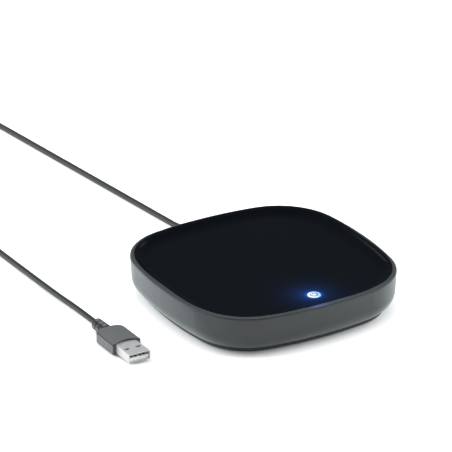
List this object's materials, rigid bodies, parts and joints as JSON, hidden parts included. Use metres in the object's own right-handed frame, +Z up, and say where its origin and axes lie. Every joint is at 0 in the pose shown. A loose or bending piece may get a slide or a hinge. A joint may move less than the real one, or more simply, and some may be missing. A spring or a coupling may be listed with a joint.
{
  "type": "electric mug warmer",
  "caption": "Rounded square mug warmer: a glossy black dish in a matt housing with a lit power button, and a USB lead with its plug.",
  "frame": {"origin": "on the table, under the middle of the tray", "axes": "+Z up; the button is towards -Y and the lead leaves the tray at +Y"},
  "size_m": [0.1574, 0.3414, 0.0209],
  "materials": {
    "dish_gloss": "mirror gloss",
    "housing_matt": "fine spark texture",
    "base_matt": "matt",
    "foot_rubber": "matt",
    "screw_steel": "zinc plated",
    "spreader_aluminium": "mill finish",
    "film_amber": "satin",
    "pad_white": "felted",
    "inner_plastic": "matt",
    "board_green": "solder mask",
    "chip_black": "matt",
    "can_aluminium": "drawn",
    "light_lens": "clear",
    "switch_black": "matt",
    "plunger_white": "matt",
    "button_clear": "frosted, lit from behind",
    "cord_black": "satin",
    "lead_insulation": "satin",
    "plug_black": "satin",
    "plug_steel": "nickel plated",
    "tongue_white": "satin",
    "contact_brass": "gold flash"
  },
  "bodies": {
    "housing": {"top_tray": "dish_gloss", "outer_shell": "housing_matt", "base_cover": "base_matt", "rubber_feet": "foot_rubber", "base_screws": "screw_steel", "heater_screws": "screw_steel", "board_screws": "screw_steel", "cord_clamp_screws": "screw_steel", "heat_spreader": "spreader_aluminium", "film_heater": "film_amber", "insulation_pad": "pad_white", "heater_clamp": "inner_plastic", "cord_clamp": "inner_plastic", "circuit_board": "board_green", "control_chip": "chip_black", "power_transistor": "chip_black", "chip_resistors": "chip_black", "temperature_sensor": "chip_black", "smoothing_capacitor": "can_aluminium", "thermal_cutout": "can_aluminium", "indicator_leds": "light_lens", "switch_body": "switch_black", "cord_end": "cord_black", "cord_lead": "cord_black", "cord_coil": "cord_black", "cord_tail": "cord_black", "strain_relief": "cord_black", "power_leads": "lead_insulation", "heater_leads": "lead_insulation", "sensor_leads": "lead_insulation", "plug_body": "plug_black", "plug_boot": "plug_black", "plug_shell": "plug_steel", "plug_tongue": "tongue_white", "plug_contacts": "contact_brass"},
    "power_button": {"button_cap": "button_clear", "switch_plunger": "plunger_white"}
  },
  "joints": [
    {"name": "button_press", "type": "slide", "parent": "housing", "child": "power_button", "axis": [0, 0, -1], "range_m": [0, 0.0004], "stiffness_N_per_m": 2000, "springref_m": -0.0005}
  ]
}
